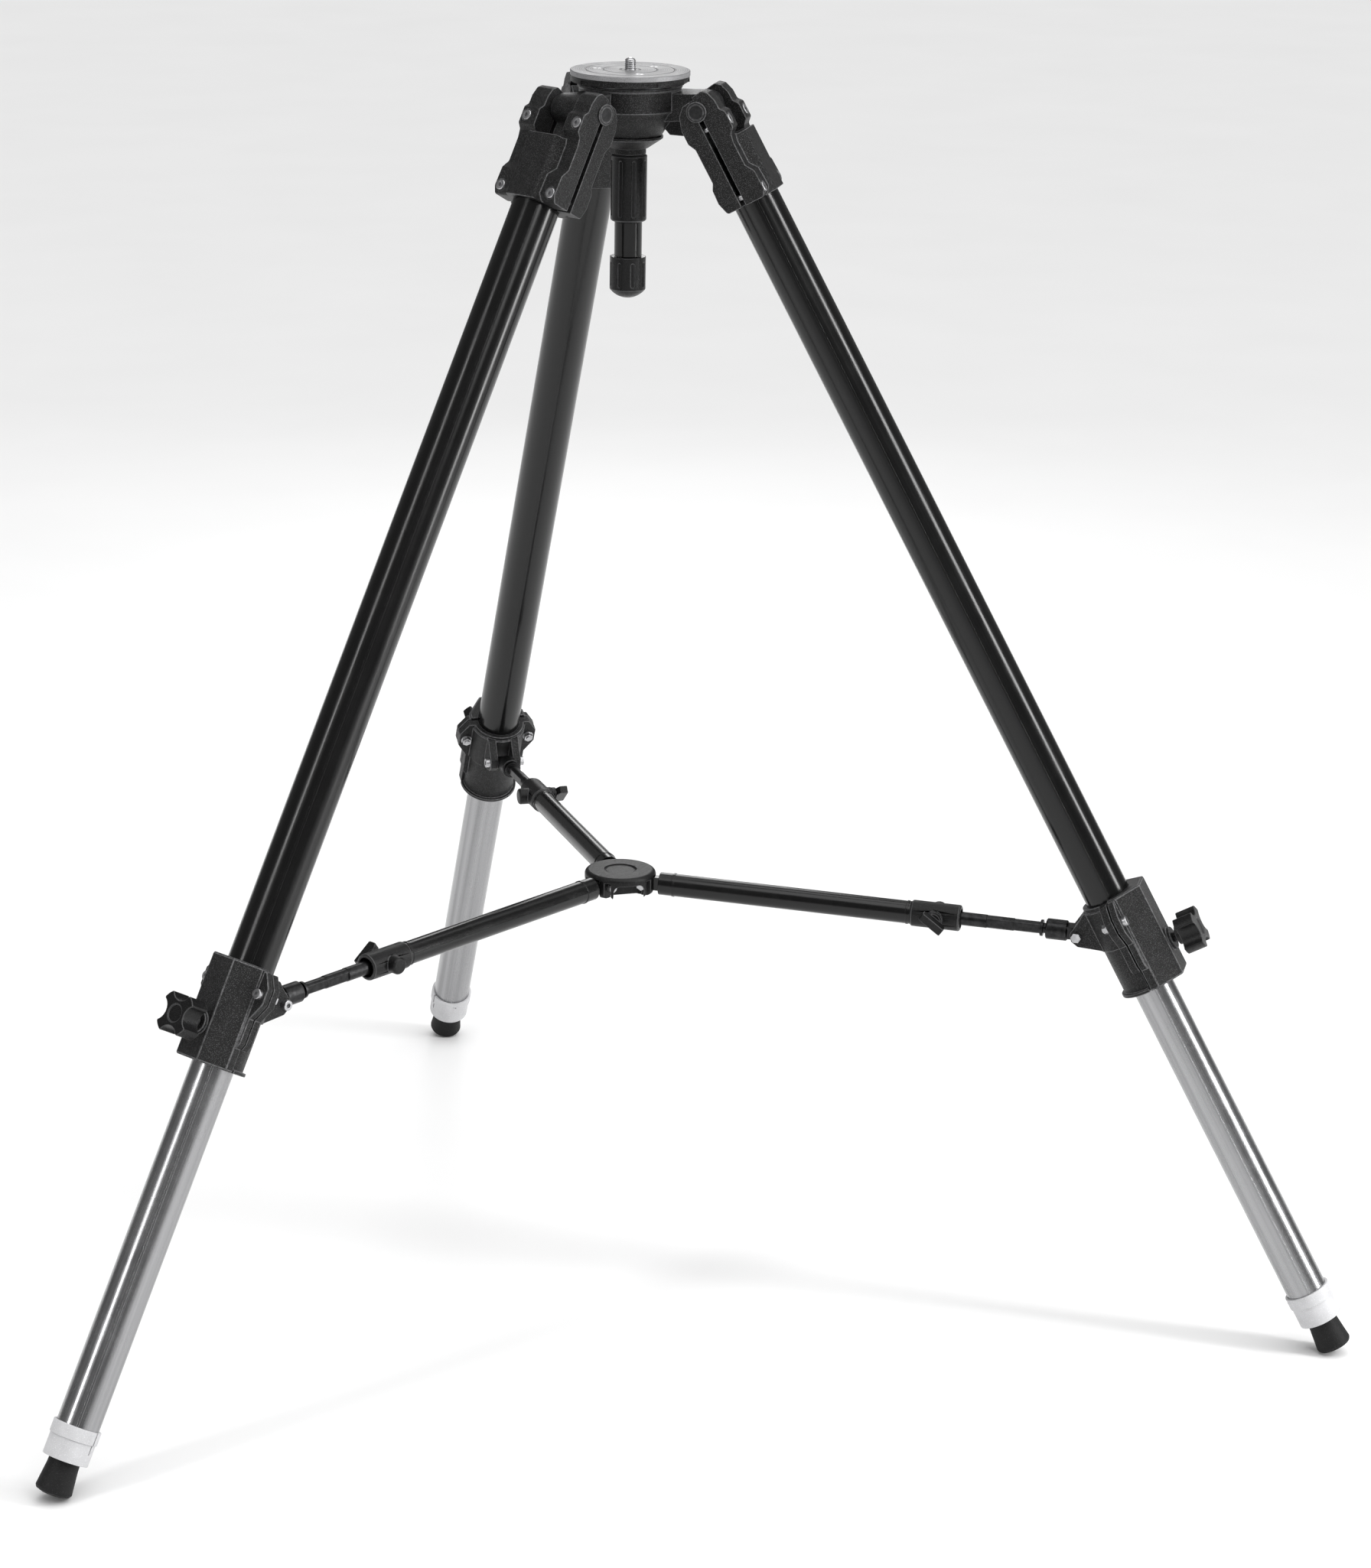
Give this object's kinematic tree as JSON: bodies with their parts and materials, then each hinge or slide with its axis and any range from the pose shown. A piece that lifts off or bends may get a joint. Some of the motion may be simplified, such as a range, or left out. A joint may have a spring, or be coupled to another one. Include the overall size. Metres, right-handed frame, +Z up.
{
  "type": "video tripod",
  "caption": "Heavy two-stage tripod with ribbed leg tubes, levelling half-ball head with a threaded stud, clamp handle, leg clamp knobs and a mid-level spreader.",
  "frame": {"origin": "on the tripod axis at the top face of the head plate, at the root of the stud", "axes": "+Z up along the stud; +Y towards the leg that stands alone at the back; +X to the right seen from the front"},
  "size_m": [1.1532, 1.0031, 1.1016],
  "materials": {
    "black_casting": "fine cast texture under satin black paint",
    "liner_plastic": "smooth, slightly waxy",
    "bare_aluminium": "turned, satin",
    "silver_plate": "fine turned rings, satin silver",
    "black_plastic": "fine grained",
    "black_tube": "drawn tube, satin black anodised",
    "silver_tube": "drawn tube, satin silver anodised",
    "steel": "bright zinc plated",
    "dark_steel": "black oxide",
    "black_nylon": "moulded, fine spark texture",
    "pale_plastic": "pale moulded plastic, semi-matte",
    "rubber": "matte moulded rubber"
  },
  "bodies": {
    "base": {"shoulder_casting": "black_casting"},
    "pan_liner": {"bowl_liner": "liner_plastic"},
    "level": {"half_ball": "bare_aluminium", "top_plate": "silver_plate", "plate_screws": "steel", "clamp_cup": "black_casting", "handle_tube": "black_tube"},
    "grip": {"lock_grip": "black_plastic"},
    "stud": {"stud_rod": "steel", "stud_knob": "black_plastic"},
    "spreader_hub": {"hub": "black_nylon", "hub_screws": "steel"},
    "leg_1": {"hinge_pin_1": "dark_steel", "bracket_outer_1": "black_casting", "bracket_inner_1": "black_casting", "bracket_screws_1": "steel", "upper_tube_1": "black_tube", "collar_1": "black_casting", "spreader_bracket_1": "black_casting", "collar_screws_1": "steel"},
    "lower_leg_1": {"lower_tube_1": "silver_tube", "ferrule_1": "pale_plastic", "foot_1": "rubber"},
    "leg_knob_1": {"lock_knob_1": "black_plastic"},
    "arm_1": {"arm_tube_1": "black_tube", "arm_lock_1": "black_nylon"},
    "thumb_1": {"arm_knob_1": "black_plastic"},
    "rod_1": {"arm_rod_1": "dark_steel"},
    "leg_2": {"hinge_pin_2": "dark_steel", "bracket_outer_2": "black_casting", "bracket_inner_2": "black_casting", "bracket_screws_2": "steel", "upper_tube_2": "black_tube", "collar_2": "black_casting", "spreader_bracket_2": "black_casting", "collar_screws_2": "steel"},
    "lower_leg_2": {"lower_tube_2": "silver_tube", "ferrule_2": "pale_plastic", "foot_2": "rubber"},
    "leg_knob_2": {"lock_knob_2": "black_plastic"},
    "arm_2": {"arm_tube_2": "black_tube", "arm_lock_2": "black_nylon"},
    "thumb_2": {"arm_knob_2": "black_plastic"},
    "rod_2": {"arm_rod_2": "dark_steel"},
    "leg_3": {"hinge_pin_3": "dark_steel", "bracket_outer_3": "black_casting", "bracket_inner_3": "black_casting", "bracket_screws_3": "steel", "upper_tube_3": "black_tube", "collar_3": "black_casting", "spreader_bracket_3": "black_casting", "collar_screws_3": "steel"},
    "lower_leg_3": {"lower_tube_3": "silver_tube", "ferrule_3": "pale_plastic", "foot_3": "rubber"},
    "leg_knob_3": {"lock_knob_3": "black_plastic"},
    "arm_3": {"arm_tube_3": "black_tube", "arm_lock_3": "black_nylon"},
    "thumb_3": {"arm_knob_3": "black_plastic"},
    "rod_3": {"arm_rod_3": "dark_steel"}
  },
  "joints": [
    {"name": "head_pan", "type": "hinge", "parent": "base", "child": "pan_liner", "pos_m": [0, 0, -0.0115], "axis": [0, 0, 1], "continuous": true},
    {"name": "head_tilt", "type": "hinge", "parent": "pan_liner", "child": "level", "pos_m": [0, 0, -0.0115], "axis": [1, 0, 0], "range_deg": [-5, 5]},
    {"name": "grip_turn", "type": "hinge", "parent": "level", "child": "grip", "pos_m": [0, 0, -0.1], "axis": [0, 0, -1], "range_deg": [0, 360]},
    {"name": "stud_turn", "type": "hinge", "parent": "level", "child": "stud", "pos_m": [0, 0, -0.175], "axis": [0, 0, -1], "continuous": true},
    {"name": "leg_fold_1", "type": "hinge", "parent": "base", "child": "leg_1", "pos_m": [0, 0.0654, -0.028], "axis": [-1, 0, 0], "range_deg": [0, 10]},
    {"name": "leg_fold_2", "type": "hinge", "parent": "base", "child": "leg_2", "pos_m": [-0.05664, -0.0327, -0.028], "axis": [0.5, -0.866, 0], "range_deg": [0, 10]},
    {"name": "leg_fold_3", "type": "hinge", "parent": "base", "child": "leg_3", "pos_m": [0.05664, -0.0327, -0.028], "axis": [0.5, 0.866, 0], "range_deg": [0, 10]},
    {"name": "hub_lift", "type": "slide", "parent": "base", "child": "spreader_hub", "axis": [0, 0, 1], "range_m": [0, 0.2228]},
    {"name": "leg_extend_1", "type": "slide", "parent": "leg_1", "child": "lower_leg_1", "axis": [0, 0.4824, -0.876], "range_m": [-0.3, 0.3]},
    {"name": "leg_knob_turn_1", "type": "hinge", "parent": "leg_1", "child": "leg_knob_1", "pos_m": [0, 0.49523, -0.71942], "axis": [0, 0.876, 0.4824], "range_deg": [0, 360]},
    {"name": "arm_swing_1", "type": "hinge", "parent": "spreader_hub", "child": "arm_1", "pos_m": [0, 0.022, -0.714], "axis": [-1, 0, 0], "range_deg": [0, 46.1]},
    {"name": "thumb_turn_1", "type": "hinge", "parent": "arm_1", "child": "thumb_1", "pos_m": [0, 0.2839, -0.7212], "axis": [1, 0, 0], "range_deg": [0, 360]},
    {"name": "rod_swing_1", "type": "hinge", "parent": "leg_1", "child": "rod_1", "pos_m": [0, 0.40906, -0.72464], "axis": [-1, 0, 0], "range_deg": [0, 36.1]},
    {"name": "leg_extend_2", "type": "slide", "parent": "leg_2", "child": "lower_leg_2", "axis": [-0.4177, -0.2412, -0.876], "range_m": [-0.3, 0.3]},
    {"name": "leg_knob_turn_2", "type": "hinge", "parent": "leg_2", "child": "leg_knob_2", "pos_m": [-0.42888, -0.24762, -0.71942], "axis": [-0.7586, -0.438, 0.4824], "range_deg": [0, 360]},
    {"name": "arm_swing_2", "type": "hinge", "parent": "spreader_hub", "child": "arm_2", "pos_m": [-0.01905, -0.011, -0.714], "axis": [0.5, -0.866, 0], "range_deg": [0, 46.1]},
    {"name": "thumb_turn_2", "type": "hinge", "parent": "arm_2", "child": "thumb_2", "pos_m": [-0.24587, -0.14195, -0.7212], "axis": [-0.5, 0.866, 0], "range_deg": [0, 360]},
    {"name": "rod_swing_2", "type": "hinge", "parent": "leg_2", "child": "rod_2", "pos_m": [-0.35425, -0.20453, -0.72464], "axis": [0.5, -0.866, 0], "range_deg": [0, 36.1]},
    {"name": "leg_extend_3", "type": "slide", "parent": "leg_3", "child": "lower_leg_3", "axis": [0.4177, -0.2412, -0.876], "range_m": [-0.3, 0.3]},
    {"name": "leg_knob_turn_3", "type": "hinge", "parent": "leg_3", "child": "leg_knob_3", "pos_m": [0.42888, -0.24762, -0.71942], "axis": [0.7586, -0.438, 0.4824], "range_deg": [0, 360]},
    {"name": "arm_swing_3", "type": "hinge", "parent": "spreader_hub", "child": "arm_3", "pos_m": [0.01905, -0.011, -0.714], "axis": [0.5, 0.866, 0], "range_deg": [0, 46.1]},
    {"name": "thumb_turn_3", "type": "hinge", "parent": "arm_3", "child": "thumb_3", "pos_m": [0.24587, -0.14195, -0.7212], "axis": [-0.5, -0.866, 0], "range_deg": [0, 360]},
    {"name": "rod_swing_3", "type": "hinge", "parent": "leg_3", "child": "rod_3", "pos_m": [0.35425, -0.20453, -0.72464], "axis": [0.5, 0.866, 0], "range_deg": [0, 36.1]}
  ],
  "couplings": [
    {"joint": "leg_fold_2", "follows": "leg_fold_1", "ratio": 1},
    {"joint": "leg_fold_3", "follows": "leg_fold_1", "ratio": 1},
    {"joint": "hub_lift", "follows": "leg_fold_1", "m_per_rad": 1.2757},
    {"joint": "arm_swing_1", "follows": "leg_fold_1", "ratio": 4.6029},
    {"joint": "rod_swing_1", "follows": "leg_fold_1", "ratio": 3.6029},
    {"joint": "arm_swing_2", "follows": "leg_fold_1", "ratio": 4.6029},
    {"joint": "rod_swing_2", "follows": "leg_fold_1", "ratio": 3.6029},
    {"joint": "arm_swing_3", "follows": "leg_fold_1", "ratio": 4.6029},
    {"joint": "rod_swing_3", "follows": "leg_fold_1", "ratio": 3.6029}
  ]
}
